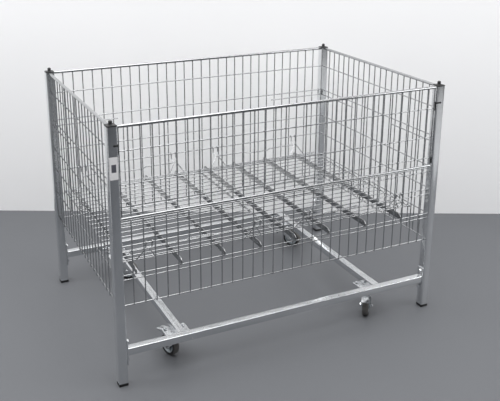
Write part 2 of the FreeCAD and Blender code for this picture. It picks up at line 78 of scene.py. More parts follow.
class Signal:
    """One output in a material's nodes. Arithmetic on it adds Math nodes; node() adds any other."""

    def __init__(self, tree, socket):
        self.tree = tree
        self.socket = socket

    def node(self, kind, values, out=0, **settings):
        made = self.tree.nodes.new("ShaderNode" + kind)
        for key, value in settings.items():
            setattr(made, key, value)
        for key, value in values.items():
            if isinstance(value, Signal):
                self.tree.links.new(value.socket, made.inputs[key])
            else:
                made.inputs[key].default_value = value
        return Signal(self.tree, made.outputs[out])

    def math(self, operation, first, second):
        return self.node("Math", {0: first, 1: second}, operation=operation)

    def __add__(self, other):
        return self.math("ADD", self, other)

    def __sub__(self, other):
        return self.math("SUBTRACT", self, other)

    def __rsub__(self, other):
        return self.math("SUBTRACT", other, self)

    def __mul__(self, other):
        return self.math("MULTIPLY", self, other)

    __radd__ = __add__
    __rmul__ = __mul__

    def noise(self, scale, detail=3.0, rough=0.5):
        return self.node("TexNoise", {"Vector": self, "Scale": scale, "Detail": detail, "Roughness": rough})

    def ramp(self, low, high, bottom=0.0, top=1.0):
        return self.node("MapRange", {0: self, 1: low, 2: high, 3: bottom, 4: top},
                         interpolation_type="SMOOTHSTEP")

    def mix(self, low, high):
        return self.node("Mix", {0: self, 6: (*low, 1), 7: (*high, 1)}, out=2, data_type="RGBA")


def new_finish(name, **fixed):
    """A material, its Principled shader and the place on the object as a signal."""
    finish = bpy.data.materials.new(name)
    finish.use_nodes = True
    tree = finish.node_tree
    shader = next(node for node in tree.nodes if node.type == "BSDF_PRINCIPLED")
    for socket, value in fixed.items():
        shader.inputs[socket.replace("_", " ")].default_value = value
    place = Signal(tree, tree.nodes.new("ShaderNodeTexCoord").outputs["Object"])
    return finish, shader, place


def feed(shader, **signals):
    for socket, signal in signals.items():
        signal.tree.links.new(signal.socket, shader.inputs[socket.replace("_", " ")])


def bump(signal, height, distance):
    return signal.node("Bump", {"Height": signal, "Strength": height, "Distance": distance})


def add_stage(name, bm, finish):
    mesh = bpy.data.meshes.new(name)
    bm.to_mesh(mesh)
    bm.free()
    mesh.materials.append(finish)
    made = bpy.data.objects.new(name, mesh)
    bpy.context.scene.collection.objects.link(made)
    made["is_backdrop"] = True


def floor_finish():
    finish, shader, place = new_finish("floor_paint", Specular_IOR_Level=0.35)
    cloud = place.noise(1.3, 4.0)
    speck = place.noise(90.0, 2.0)
    feed(shader, Base_Color=(cloud * 0.8 + speck * 0.2).mix((0.110, 0.115, 0.124), (0.138, 0.143, 0.153)),
         Roughness=cloud.ramp(0.3, 0.7, 0.42, 0.55))
    return finish


def wall_finish():
    finish, shader, place = new_finish("wall_paint", Roughness=0.8)
    feed(shader, Base_Color=place.noise(2.0).mix((0.93, 0.93, 0.94), (0.96, 0.96, 0.965)))
    tree = finish.node_tree
    side = Signal(tree, tree.nodes.new("ShaderNodeNewGeometry").outputs["Backfacing"])
    clear = tree.nodes.new("ShaderNodeBsdfTransparent").outputs[0]
    painted = Signal(tree, shader.outputs[0])
    shown = side.node("MixShader", {0: side, 1: painted, 2: Signal(tree, clear)})
    output = next(node for node in tree.nodes if node.type == "OUTPUT_MATERIAL")
    tree.links.new(shown.socket, output.inputs["Surface"])
    return finish


floor_mesh = bmesh.new()
bmesh.ops.create_grid(floor_mesh, x_segments=1, y_segments=1, size=FLOOR_HALF)
add_stage("floor", floor_mesh, floor_finish())

wall_mesh = bmesh.new()
bmesh.ops.create_grid(wall_mesh, x_segments=1, y_segments=1, size=WALL_HALF)
turn = Matrix.Rotation(-HEADING, 4, "Z")
stand_up = Matrix.Translation((0, WALL_DISTANCE, WALL_MIDDLE)) @ Matrix.Rotation(math.radians(90), 4, "X")
bmesh.ops.transform(wall_mesh, matrix=turn @ stand_up, verts=wall_mesh.verts)
bmesh.ops.bisect_plane(wall_mesh, geom=wall_mesh.verts[:] + wall_mesh.edges[:] + wall_mesh.faces[:],
                       plane_co=(0, 0, 0), plane_no=(0, 0, -1), clear_outer=True)
add_stage("wall", wall_mesh, wall_finish())


def soft_box(name, place, aim, size, power):
    light = bpy.data.lights.new(name, "AREA")
    light.shape = "RECTANGLE"
    light.size, light.size_y = size
    light.energy = power
    lamp = bpy.data.objects.new(name, light)
    lamp.location = place
    lamp.rotation_euler = (Vector(aim) - Vector(place)).to_track_quat("-Z", "Y").to_euler()
    lamp.visible_camera = False
    bpy.context.scene.collection.objects.link(lamp)


soft_box("ceiling_light", (-0.5, -0.7, 3.4), (0, 0.2, 0.3), (4.6, 3.4), 175)
soft_box("right_light", (2.6, -2.2, 1.7), (0.3, 0, 0.6), (1.8, 1.6), 40)
soft_box("left_light", (-3.2, 0.6, 2.1), (0, 0, 0.4), (1.6, 1.8), 38)
soft_box("right_bounce", (2.3, -2.4, 0.01), (2.3, -2.4, 1.0), (1.7, 1.9), 5)
soft_box("left_bounce", (-2.6, -1.9, 0.01), (-2.6, -1.9, 1.0), (1.8, 2.4), 9)

room = bpy.data.worlds.new("room")
room.use_nodes = True
tree = room.node_tree
seen = Signal(tree, tree.nodes.new("ShaderNodeLightPath").outputs["Is Camera Ray"])
backdrop = seen.mix((0.045, 0.047, 0.051), (0.80, 0.81, 0.83))
tree.links.new(backdrop.socket, tree.nodes["Background"].inputs["Color"])
bpy.context.scene.world = room
bpy.context.scene.view_settings.view_transform = "Standard"

camera = bpy.data.objects.new("camera", bpy.data.cameras.new("camera"))
camera.data.sensor_width = 36.0
camera.data.lens = 57.13
camera.data.shift_y = -0.12
bearing, tilt, roll = math.radians(26.27), math.radians(17.45), math.radians(0.37)
camera.matrix_world = (Matrix.Translation((-1.185, -2.497, 1.488))
                       @ Matrix.Rotation(-bearing, 4, "Z")
                       @ Matrix.Rotation(math.pi / 2 - tilt, 4, "X")
                       @ Matrix.Rotation(roll, 4, "Z"))
bpy.context.scene.collection.objects.link(camera)
bpy.context.scene.camera = camera

# ---------------------------------------------------------------------------------------------
# The four posts are square steel tube with rounded corners, zinc plated. Their inner faces have
# panel slots and, at the lowest row of wire, holes that the panels' ends run into.
TUBE_WALL = 0.0015
POST_CORNER = 0.0028
SLOT_WIDTH = 0.006
SLOT_Z = (0.645, 0.670)
FLAP_SLOT_Z = (0.570, 0.591)
SLOT_X = 0.577
SLOT_Y = 0.391
ROW_HOLE = 0.0035
ROW_LINE = (0.5833, 0.3833)
LOW_ROW = 0.272
CUT_LENGTH = 0.012
SHARP = math.radians(38)
CORNERS = {"front_left": (-1, -1), "front_right": (1, -1), "back_left": (-1, 1), "back_right": (1, 1)}


def zinc(name, grain, dull=0.0, wave=1.0, dark=1.0):
    """Bright zinc plating. Its cloudy marks are drawn out along the piece by grain. The last argument
    darkens the colour as painted shade.
    """
    low, high = Vector((0.70, 0.715, 0.73)) * dark, Vector((0.82, 0.83, 0.84)) * dark
    finish, shader, place = new_finish(name, Metallic=1.0)
    drawn = place.node("Mapping", {"Vector": place, "Scale": grain})
    cloud = place.noise(7.0, 4.0, 0.6)
    mottle = drawn.noise(60.0, 5.0, 0.62)
    scratch = drawn.noise(420.0, 2.0, 0.7)
    tone = cloud.ramp(0.3, 0.7) * 0.45 + mottle.ramp(0.25, 0.75) * 0.55
    rough = 0.13 + dull + mottle.ramp(0.35, 0.75) * 0.10 + scratch.ramp(0.5, 0.8) * 0.07
    feed(shader, Base_Color=tone.mix(low, high), Roughness=rough,
         Normal=bump(mottle * 0.8 + scratch * 0.2, 0.10 * wave, 0.0004))
    return finish


def add_piece(name, bm, body, slot, finish, *nodes):
    """Turns a bmesh into a piece that rides on its body and stands for the CAD nodes named."""
    bmesh.ops.remove_doubles(bm, verts=bm.verts, dist=1e-6)
    bmesh.ops.recalc_face_normals(bm, faces=bm.faces)
    for face in bm.faces:
        face.smooth = True
    for edge in bm.edges:
        edge.smooth = edge.calc_face_angle(0.0) < SHARP
    mesh = bpy.data.meshes.new(name)
    bm.to_mesh(mesh)
    bm.free()
    mesh.materials.append(finish)
    piece = bpy.data.objects.new(name, mesh)
    bpy.context.scene.collection.objects.link(piece)
    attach(piece, body)
    if nodes:
        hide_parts(*nodes)
    return piece


def square_tube(bm, low, high, axis, corner):
    """A square tube that fills the box and is open at both ends of the given axis."""
    made = bmesh.ops.create_cube(bm, size=1.0)["verts"]
    bmesh.ops.scale(bm, vec=high - low, verts=made)
    bmesh.ops.translate(bm, vec=(low + high) / 2, verts=made)
    bm.normal_update()
    faces = {face for vert in made for face in vert.link_faces}
    ends = [face for face in faces if abs(face.normal[axis]) > 0.5]
    bmesh.ops.delete(bm, geom=ends, context="FACES_ONLY")
    long_edges = [edge for vert in made for edge in vert.link_edges
                  if abs((edge.verts[0].co - edge.verts[1].co)[axis]) > (high - low)[axis] / 2]
    bmesh.ops.bevel(bm, geom=list(set(long_edges)), offset=corner, offset_type="OFFSET", segments=4,
                    profile=0.5, affect="EDGES", material=-1)
    bmesh.ops.solidify(bm, geom=bm.faces[:], thickness=TUBE_WALL)


def cut_away(piece, cutter_mesh):
    """Takes the cutter's shape out of a finished piece."""
    mesh = bpy.data.meshes.new("cutter")
    cutter_mesh.to_mesh(mesh)
    cutter_mesh.free()
    cutter = bpy.data.objects.new("cutter", mesh)
    bpy.context.scene.collection.objects.link(cutter)
    cut = piece.modifiers.new("cut", "BOOLEAN")
    cut.operation, cut.object, cut.solver = "DIFFERENCE", cutter, "EXACT"
    shaped = bpy.data.meshes.new_from_object(piece.evaluated_get(bpy.context.evaluated_depsgraph_get()))
    piece.modifiers.clear()
    piece.data = shaped
    bpy.data.objects.remove(cutter)


def slot_cutter(bm, place, across, through, heights):
    """A slot with round ends that runs up a tube's face."""
    made = bmesh.ops.create_cube(bm, size=1.0)["verts"]
    size = across * SLOT_WIDTH + through * CUT_LENGTH + Z * (heights[1] - heights[0])
    bmesh.ops.scale(bm, vec=size, verts=made)
    bmesh.ops.translate(bm, vec=place + Z * (heights[0] + heights[1]) / 2, verts=made)
    ends = {edge for vert in made for edge in vert.link_edges
            if abs((edge.verts[0].co - edge.verts[1].co).dot(through)) > CUT_LENGTH / 2}
    bmesh.ops.bevel(bm, geom=list(ends), offset=SLOT_WIDTH * 0.49, offset_type="OFFSET", segments=5,
                    profile=0.5, affect="EDGES", material=-1)


def hole_cutter(bm, place, through):
    lie = Matrix.Translation(place) @ through.to_track_quat("Z", "Y").to_matrix().to_4x4()
    bmesh.ops.create_cone(bm, cap_ends=True, segments=20, radius1=ROW_HOLE, radius2=ROW_HOLE,
                          depth=CUT_LENGTH, matrix=lie)


tube_zinc_z = zinc("zinc_tube_upright", (1.0, 1.0, 0.22))
for name, (sx, sy) in CORNERS.items():
    low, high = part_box("post_" + name)
    inner_x, inner_y = sorted((low.x, high.x), key=abs)[0], sorted((low.y, high.y), key=abs)[0]
    row_x, row_y = sx * ROW_LINE[0], sy * ROW_LINE[1]
    tube = bmesh.new()
    square_tube(tube, low, high, 2, POST_CORNER)
    post = add_piece("steel_post_" + name, tube, "frame", "zinc_tube", tube_zinc_z, "post_" + name)
    cuts = bmesh.new()
    slot_cutter(cuts, Vector((sx * SLOT_X, inner_y, 0)), X, Y, SLOT_Z)
    slot_cutter(cuts, Vector((inner_x, sy * SLOT_Y, 0)), Y, X, SLOT_Z if sy > 0 else FLAP_SLOT_Z)
    hole_cutter(cuts, Vector((row_x, inner_y, LOW_ROW)), Y)
    hole_cutter(cuts, Vector((inner_x, row_y, LOW_ROW)), X)
    cut_away(post, cuts)

# ---------------------------------------------------------------------------------------------
# Black plastic caps close the posts: a plate with a stacking knob at the top and a plain shoe at
# the bottom. Both are pushed in on a spigot that can't be seen.
KNOB_RADIUS = 0.006
KNOB_HEIGHT = 0.012
CAP_EDGE = 0.0012
TURN_STEPS = 32


def black_plastic():
    finish, shader, place = new_finish("black_plastic", Specular_IOR_Level=0.45)
    grain = place.noise(900.0, 2.0)
    dust = place.noise(40.0, 4.0)
    feed(shader, Base_Color=dust.ramp(0.45, 0.8).mix((0.014, 0.014, 0.015), (0.035, 0.035, 0.036)),
         Roughness=grain * 0.15 + 0.36, Normal=bump(grain, 0.25, 0.0003))
    return finish


def box_shape(bm, low, high, edge, segments=2, chosen=None):
    """A box with its edges rounded: all of them, or those that chosen picks."""
    made = bmesh.ops.create_cube(bm, size=1.0)["verts"]
    bmesh.ops.scale(bm, vec=Vector(high) - Vector(low), verts=made)
    bmesh.ops.translate(bm, vec=(Vector(low) + Vector(high)) / 2, verts=made)
    edges = {e for vert in made for e in vert.link_edges if chosen is None or chosen(e)}
    bmesh.ops.bevel(bm, geom=list(edges), offset=edge, offset_type="OFFSET", segments=segments,
                    profile=0.5, affect="EDGES", material=-1)


def turned(bm, profile, centre, axis, steps=TURN_STEPS):
    """Spins an outline of (radius, height) points round an axis through the centre."""
    side = axis.orthogonal().normalized()
    verts = [bm.verts.new(centre + side * radius + axis * height) for radius, height in profile]
    edges = [bm.edges.new(pair) for pair in zip(verts, verts[1:])]
    bmesh.ops.spin(bm, geom=verts + edges, cent=centre, axis=axis, angle=2 * math.pi, steps=steps,
                   use_merge=True)
    bmesh.ops.remove_doubles(bm, verts=bm.verts, dist=1e-6)


plastic = black_plastic()
for name in CORNERS:
    low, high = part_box("top_cap_" + name)
    _, tube_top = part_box("post_" + name)
    plate_top = high.z - KNOB_HEIGHT
    centre = Vector(((low.x + high.x) / 2, (low.y + high.y) / 2, 0))
    cap = bmesh.new()
    box_shape(cap, (low.x, low.y, tube_top.z), (high.x, high.y, plate_top), CAP_EDGE, 3)
    knob = [(0, plate_top - 0.001), (KNOB_RADIUS + 0.0012, plate_top - 0.001),
            (KNOB_RADIUS + 0.0012, plate_top + 0.0004), (KNOB_RADIUS, plate_top + 0.0016),
            (KNOB_RADIUS, high.z - 0.0022), (KNOB_RADIUS - 0.0006, high.z - 0.0008),
            (KNOB_RADIUS - 0.002, high.z), (0, high.z)]
    turned(cap, knob, centre, Z)
    add_piece("cap_with_knob_" + name, cap, "frame", "black_plastic", plastic, "top_cap_" + name)

    low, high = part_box("foot_cap_" + name)
    tube_bottom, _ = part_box("post_" + name)
    shoe = bmesh.new()
    box_shape(shoe, low, (high.x, high.y, tube_bottom.z), CAP_EDGE * 1.5, 3)
    add_piece("foot_shoe_" + name, shoe, "frame", "black_plastic", plastic, "foot_cap_" + name)

# ---------------------------------------------------------------------------------------------
# Welded wire panels close the back and both ends. Upright wires stand outside the cross wires, a
# thick wire makes the top rail, and short extra wires stiffen the corners. They are plated whole.
WIRE = 0.004
SUNK = 0.0003
RAIL = 0.010
GRID = 0.037
WIRE_SIDES = 10
WIRE_END = 0.0005
BEND_SHARE = 0.45
ROWS = (LOW_ROW, 0.373, 0.469, 0.551, 0.667, 0.771)
ROW_IN = 0.005
CORNER_ROW = 0.645
CORNER_LENGTH = 0.235
LONG_WIRES = 30
SIDE_WIRES = 19
ROW_INSIDE = WIRE - SUNK
chance = random.Random(5)


def bent_wire(bm, points, thick, bend=0.010, sides=WIRE_SIDES):
    """Draws a round wire along the points, turning every corner on a radius."""
    points = [Vector(point) for point in points]
    way = (points[1] - points[0]).normalized()
    start = Matrix.Translation(points[0]) @ way.to_track_quat("Z", "Y").to_matrix().to_4x4()
    ring = bmesh.ops.create_circle(bm, cap_ends=True, radius=thick / 2 - WIRE_END, segments=sides,
                                   matrix=start)["verts"]
    edges = list({edge for vert in ring for edge in vert.link_edges})

    def push(step, grow=0.0):
        nonlocal edges
        made = bmesh.ops.extrude_edge_only(bm, edges=edges)["geom"]
        verts = [item for item in made if isinstance(item, bmesh.types.BMVert)]
        edges = [item for item in made if isinstance(item, bmesh.types.BMEdge) and item.is_boundary]
        middle = sum((vert.co for vert in verts), Vector()) / len(verts)
        for vert in verts:
            vert.co += step + (vert.co - middle).normalized() * grow

    push(way * WIRE_END, WIRE_END)
    used = WIRE_END
    for here, corner, after in zip(points, points[1:], points[2:]):
        ahead = (after - corner).normalized()
        turn_angle = way.angle(ahead)
        room = BEND_SHARE * min((corner - here).length, (after - corner).length)
        radius = min(bend, room / math.tan(turn_angle / 2))
        back_off = radius * math.tan(turn_angle / 2)
        push(way * ((corner - here).length - used - back_off))
        inward = (ahead - way * way.dot(ahead)).normalized()
        verts = list({vert for edge in edges for vert in edge.verts})
        made = bmesh.ops.spin(bm, geom=verts + edges, cent=corner - way * back_off + inward * radius,
                              axis=way.cross(ahead), angle=turn_angle,
                              steps=max(2, round(math.degrees(turn_angle) / 15)))["geom_last"]
        edges = [item for item in made if isinstance(item, bmesh.types.BMEdge)]
        way, used = ahead, back_off
    push(way * ((points[-1] - points[-2]).length - used - WIRE_END))
    push(way * WIRE_END, -WIRE_END)
    bmesh.ops.edgeloop_fill(bm, edges=edges)


def weld_spot(bm, place, normal, size=0.0026):
    """The small squeezed bead where two wires are spot welded."""
    lie = Matrix.Translation(place) @ Vector(normal).to_track_quat("Z", "Y").to_matrix().to_4x4()
    bmesh.ops.create_uvsphere(bm, u_segments=8, v_segments=5, radius=size,
                              matrix=lie @ Matrix.Diagonal((1.0, 1.0, 0.55, 1.0)))


def upright_places(count):
    """Where the upright wires stand, each a hair off its true pitch."""
    start = -GRID * (count - 1) / 2
    return [start + GRID * i + chance.uniform(-0.0004, 0.0004) for i in range(count)]


def cross_rows(bm, uprights, heights, half):
    """Cross wires at y = ROW_INSIDE, welded to every upright that they meet."""
    for height in heights:
        end = half + ROW_IN if height == LOW_ROW else half
        bent_wire(bm, [(-end, ROW_INSIDE, height), (end, ROW_INSIDE, height)], WIRE)
        for x in uprights:
            weld_spot(bm, (x, ROW_INSIDE / 2, height), Y)


def full_panel(count, half, top):
    """A panel drawn along X at y = 0, with the inside of the bin towards +Y."""
    bm = bmesh.new()
    uprights = upright_places(count)
    rail_z = top - RAIL / 2
    for x in uprights:
        bent_wire(bm, [(x, 0, ROWS[0] - WIRE / 2), (x, 0, rail_z)], WIRE)
        weld_spot(bm, (x, 0, rail_z - RAIL / 2), Z, 0.0032)
    cross_rows(bm, uprights, ROWS, half)
    for side in (-1, 1):
        inner = side * (half - CORNER_LENGTH)
        bent_wire(bm, [(inner, ROW_INSIDE, CORNER_ROW), (side * half, ROW_INSIDE, CORNER_ROW)], WIRE)
        for x in uprights:
            if x * side > half - CORNER_LENGTH:
                weld_spot(bm, (x, ROW_INSIDE / 2, CORNER_ROW), Y)
    bent_wire(bm, [(-half, 0, rail_z), (half, 0, rail_z)], RAIL, sides=16)
    return bm


def stand(bm, degrees, step):
    spin = Matrix.Rotation(math.radians(degrees), 3, "Z")
    bmesh.ops.rotate(bm, verts=bm.verts, cent=(0, 0, 0), matrix=spin)
    bmesh.ops.translate(bm, verts=bm.verts, vec=step)
    return bm


# The wires' plating is darkened to 0.60 of the tubes': painted shade, standing in for the dim room that the
# wires reflect.
wire_zinc_painted_shade = zinc("zinc_wire", (1.0, 1.0, 1.0), 0.02, 0.2, 0.60)
low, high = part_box("panel_back")
back = full_panel(LONG_WIRES, high.x - ROW_IN, high.z)
add_piece("wire_panel_back", stand(back, 180, (0, high.y - RAIL / 2, 0)), "frame", "zinc_wire", wire_zinc_painted_shade,
          "panel_back")
for name, degrees, side in (("left", -90, -1), ("right", 90, 1)):
    low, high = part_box("panel_" + name)
    plane = max(abs(low.x), abs(high.x)) - RAIL / 2
    end = full_panel(SIDE_WIRES, high.y - ROW_IN, high.z)
    add_piece("wire_panel_" + name, stand(end, degrees, (side * plane, 0, 0)), "frame", "zinc_wire",
              wire_zinc_painted_shade, "panel_" + name)

# ---------------------------------------------------------------------------------------------
# The lower front panel is fixed. Above its lowest wire it has cross wires in pairs, and it has no
# top rail.
LOWER_ROWS = (LOW_ROW, 0.358, 0.373, 0.450, 0.469, 0.536, 0.551)

low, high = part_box("panel_front_lower")
front = bmesh.new()
uprights = upright_places(LONG_WIRES)
for x in uprights:
    bent_wire(front, [(x, 0, low.z), (x, 0, high.z)], WIRE)
cross_rows(front, uprights, LOWER_ROWS, high.x - ROW_IN)
add_piece("wire_panel_front_lower", stand(front, 0, (0, low.y + WIRE / 2, 0)), "frame", "zinc_wire",
          wire_zinc_painted_shade, "panel_front_lower")

# ---------------------------------------------------------------------------------------------
# The front flap swings on two pins that slide out of the ends of its thick bottom rod into the
# posts. Its end wires, top rail and bottom rod make a frame round the thinner wires.
FLAP_ROD = 0.008
FLAP_PIN = 0.006
PIN_SHOWN = 0.03
FLAP_ROWS = (0.590, 0.667, 0.771)

hinge = Vector(joints["flap_hinge"]["pos_m"])
low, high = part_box("front_flap")
end_x = high.x - WIRE / 2
rail_z = high.z - RAIL / 2
wire_y = low.y + RAIL / 2
flap = bmesh.new()
uprights = upright_places(LONG_WIRES)
for x in uprights + [-end_x, end_x]:
    bent_wire(flap, [(x, 0, hinge.z), (x, 0, rail_z)], WIRE)
    weld_spot(flap, (x, 0, rail_z - RAIL / 2), Z, 0.0032)
    weld_spot(flap, (x, 0, hinge.z + FLAP_ROD / 2), Z, 0.003)
cross_rows(flap, uprights + [-end_x, end_x], FLAP_ROWS, high.x)
bent_wire(flap, [(-high.x, 0, rail_z), (high.x, 0, rail_z)], RAIL, sides=16)
stand(flap, 0, (0, wire_y, 0))
bent_wire(flap, [(-high.x, hinge.y, hinge.z), (high.x, hinge.y, hinge.z)], FLAP_ROD, sides=14)
add_piece("wire_flap", flap, "flap", "zinc_wire", wire_zinc_painted_shade, "front_flap")

pin_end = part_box("flap_hinge_pins")[1].x
pins = bmesh.new()
for side in (-1, 1):
    inner = (side * (high.x - PIN_SHOWN), hinge.y, hinge.z)
    bent_wire(pins, [inner, (side * pin_end, hinge.y, hinge.z)], FLAP_PIN, sides=14)
add_piece("hinge_pins", pins, "flap", "zinc_wire", wire_zinc_painted_shade, "flap_hinge_pins")

# ---------------------------------------------------------------------------------------------
# A moulded clip on each front post holds the flap up: a round button on the front, an arm round
# the corner, and a hook down the inside. The left clip's arm is the shorter one.
CLIP_THICK = 0.002
CLIP_WIDE = 0.005
CLIP_REACH = 0.010
CLIP_Z = 0.793
CLIP_BUTTON = 0.0035
CLIP_EDGE = 0.0006
CLIP_LAP = 0.0007
CLIP_ENDS = {-1: 0.580, 1: 0.584}

low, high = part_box("flap_latch_clips")
post_low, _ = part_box("post_front_right")
clips = bmesh.new()
for side, reach in CLIP_ENDS.items():
    inside, end_x = side * post_low.x, side * reach
    x0, x1 = sorted((inside, inside - side * CLIP_THICK))
    bottom, top = CLIP_Z - CLIP_WIDE / 2, CLIP_Z + CLIP_WIDE / 2
    face = low.y + CLIP_THICK
    hook = face + CLIP_REACH
    box_shape(clips, (min(x0, end_x), low.y, bottom), (max(x1, end_x), face, top), CLIP_EDGE)
    box_shape(clips, (x0, low.y + CLIP_LAP, bottom), (x1, hook, top), CLIP_EDGE)
    box_shape(clips, (x0, hook - CLIP_WIDE, low.z), (x1, hook, top - CLIP_LAP), CLIP_EDGE)
    button = [(0, 0), (CLIP_BUTTON, 0), (CLIP_BUTTON, CLIP_THICK * 0.6),
              (CLIP_BUTTON - 0.0007, CLIP_THICK), (0, CLIP_THICK)]
    turned(clips, button, Vector((end_x, face, CLIP_Z)), -Y, 20)
add_piece("latch_clips", clips, "frame", "black_plastic", plastic, "flap_latch_clips")

# ---------------------------------------------------------------------------------------------
# The underframe is square tube: a rail between the posts at the front and the back, each welded to
# an end plate, and two cross bars welded between the rails for the casters.
BAR_CORNER = 0.0022
PLATE_EDGE = 0.0008
WELD_IN = 0.0008
PLATE_WELD = (0.004, 0.026)
UPRIGHT_WELD_END = 0.003


def tube_piece(name, node, axis, finish):
    low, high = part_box(node)
    tube = bmesh.new()
    square_tube(tube, low, high, axis, BAR_CORNER)
    add_piece(name, tube, "frame", "zinc_tube", finish, node)


def weld_run(bm, start, end, count, size=0.0016):
    """A fillet weld: a row of overlapping beads of uneven size."""
    start, end = Vector(start), Vector(end)
    for i in range(count):
        place = start.lerp(end, (i + 0.5) / count)
        bead = size * chance.uniform(0.85, 1.15)
        bmesh.ops.create_uvsphere(bm, u_segments=8, v_segments=6, radius=bead,
                                  matrix=Matrix.Translation(place))


tube_zinc_x = zinc("zinc_tube_long", (0.22, 1.0, 1.0))
tube_zinc_y = zinc("zinc_tube_cross", (1.0, 0.35, 1.0))
for name in ("front", "back"):
    tube_piece("steel_rail_" + name, name + "_rail", 0, tube_zinc_x)
for name in ("left", "right"):
    tube_piece("steel_cross_bar_" + name, "cross_bar_" + name, 1, tube_zinc_y)

low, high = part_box("rail_end_plates")
rail_low, rail_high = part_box("front_rail")
cross_low, cross_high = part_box("cross_bar_right")
plates = bmesh.new()
beads = bmesh.new()
for sx, sy in CORNERS.values():
    x0, x1 = sorted((sx * rail_high.x, sx * high.x))
    y0, y1 = sorted((sy * high.y, sy * (-rail_low.y - rail_high.y) - sy * high.y))
    box_shape(plates, (x0, y0, low.z), (x1, y1, high.z), PLATE_EDGE)
    in_y = sy * cross_high.y
    for z in (cross_low.z, cross_high.z):
        tip = WELD_IN if z == cross_high.z else -WELD_IN
        weld_run(beads, (sx * rail_high.x, sy * (high.y - PLATE_WELD[0]), z),
                 (sx * rail_high.x, sy * (high.y - PLATE_WELD[1]), z), 9)
        weld_run(beads, (sx * cross_low.x, in_y, z - tip), (sx * cross_high.x, in_y, z - tip), 10)
    for x in (cross_low.x, cross_high.x):
        weld_run(beads, (sx * x, in_y, cross_low.z + UPRIGHT_WELD_END),
                 (sx * x, in_y, cross_high.z - UPRIGHT_WELD_END), 8)
add_piece("end_plates", plates, "frame", "zinc_tube", tube_zinc_z, "rail_end_plates")
add_piece("frame_welds", beads, "frame", "zinc_tube", wire_zinc_painted_shade)

# ---------------------------------------------------------------------------------------------
# Plated hexagon bolts hold each end plate to its post, one above the rail and one below it. Their
# nuts are inside the posts.
BOLT_ACROSS = 0.013
BOLT_HEAD = 0.0053
BOLT_OFFSET = 0.031
BOLT_SHANK = 0.0039
BOLT_LENGTH = 0.019
BOLT_POINT = 0.001
HEX_CORNER = 2 / math.sqrt(3)


def hexagon(bm, place, axis, across, height):
    """A bolt head or nut: a six-sided prism with its outer corners turned off."""
    lie = Matrix.Translation(place) @ axis.to_track_quat("Z", "Y").to_matrix().to_4x4()
    corner = across / 2 * HEX_CORNER
    flat = bmesh.ops.create_circle(bm, cap_ends=True, radius=corner, segments=6, matrix=lie)["verts"]
    base = list({face for vert in flat for face in vert.link_faces})
    raised = bmesh.ops.extrude_face_region(bm, geom=base, use_keep_orig=True)["geom"]
    top = [item for item in raised if isinstance(item, bmesh.types.BMVert)]
    bmesh.ops.translate(bm, verts=top, vec=axis * height)
    rim = {edge for vert in top for edge in vert.link_edges if all(end in top for end in edge.verts)}
    bmesh.ops.bevel(bm, geom=list(rim), offset=across * 0.07, offset_type="OFFSET", segments=2,
                    profile=0.5, affect="EDGES", material=-1)


bolt_zinc = zinc("zinc_fastener", (1.0, 1.0, 1.0), 0.02, 0.6)
rail = (rail_low + rail_high) / 2
shank = [(0, 0), (BOLT_SHANK, 0), (BOLT_SHANK, BOLT_LENGTH - BOLT_POINT),
         (BOLT_SHANK - BOLT_POINT * 0.8, BOLT_LENGTH), (0, BOLT_LENGTH)]
bolts = bmesh.new()
for sx, sy in CORNERS.values():
    for up in (-BOLT_OFFSET, BOLT_OFFSET):
        place = Vector((sx * rail_high.x, sy * abs(rail.y), rail.z + up))
        hexagon(bolts, place, sx * -X, BOLT_ACROSS, BOLT_HEAD)
        turned(bolts, shank, place, sx * X, 16)
add_piece("hexagon_bolts", bolts, "frame", "fasteners", bolt_zinc, "rail_bolts")

# ---------------------------------------------------------------------------------------------
# Four swivel casters hang under the cross bars. A pressed fork turns on a ball race below a bolted
# plate, and the axle is a bolt with a nut. Each is drawn at its swivel axis, trailing along +X.
CHEEK = 0.0025
FORK_HALF = 0.015
CROWN_BACK = -0.018
CROWN_FRONT = 0.024
CROWN_LIP = 0.009
FRONT_ANGLE = 31.7
BACK_ANGLE = -133.5
KINGPIN_BORE = 0.0051
AXLE = 0.004
CROWN_Z = 0.083
AXLE_BOSS = 0.012
RACE_SPLIT = 0.089
RACE = 0.023
PLATE_CORNER = 0.008
CASTER_BOLT_AT = (0.032, 0.025)
PLATE_BOLT = 0.003
PLATE_BOLT_ACROSS = 0.010
PLATE_BOLT_HEAD = 0.004
PLATE_NUT = 0.005
AXLE_HEAD = 0.005
AXLE_NUT = 0.0065
CASTER_NAMES = ("front_left", "front_right", "back_left", "back_right")
BRAKED = ("front_left", "front_right")
PEDAL_PIN = Vector((0.052, 0, 0.080))
LUG_RADIUS = 0.006


def caster_place(name):
    """(matrix that turns a caster to its rest heading about its swivel axis, axle centre in the drawing)"""
    swivel = Vector(joints["swivel_" + name]["pos_m"])
    axle = Vector(joints["roll_" + name]["pos_m"])
    way = (axle - swivel).to_2d()
    heading = math.atan2(way.y, way.x)
    place = Matrix.Translation((swivel.x, swivel.y, 0)) @ Matrix.Rotation(heading, 4, "Z")
    return place, Vector((way.length, 0, axle.z))


def flat_shape(bm, outline, y0, y1, edge=0.0006):
    """A plate cut to an outline of (x, z) points, from y0 to y1, with its edges broken."""
    verts = [bm.verts.new((x, y0, z)) for x, z in outline]
    face = bm.faces.new(verts)
    raised = bmesh.ops.extrude_face_region(bm, geom=[face], use_keep_orig=True)["geom"]
    top = [item for item in raised if isinstance(item, bmesh.types.BMVert)]
    bmesh.ops.translate(bm, verts=top, vec=(0, y1 - y0, 0))
    rims = {e for vert in verts + top for e in vert.link_edges
            if abs(e.verts[0].co.y - e.verts[1].co.y) < 1e-7}
    bmesh.ops.bevel(bm, geom=list(rims), offset=edge, offset_type="OFFSET", segments=2, profile=0.5,
                    affect="EDGES", material=-1)


def arc(centre, radius, start, end, steps):
    """(x, z) points on an arc, from one angle to another in degrees."""
    angles = [math.radians(start + (end - start) * i / steps) for i in range(steps + 1)]
    return [(centre[0] + radius * math.cos(a), centre[1] + radius * math.sin(a)) for a in angles]


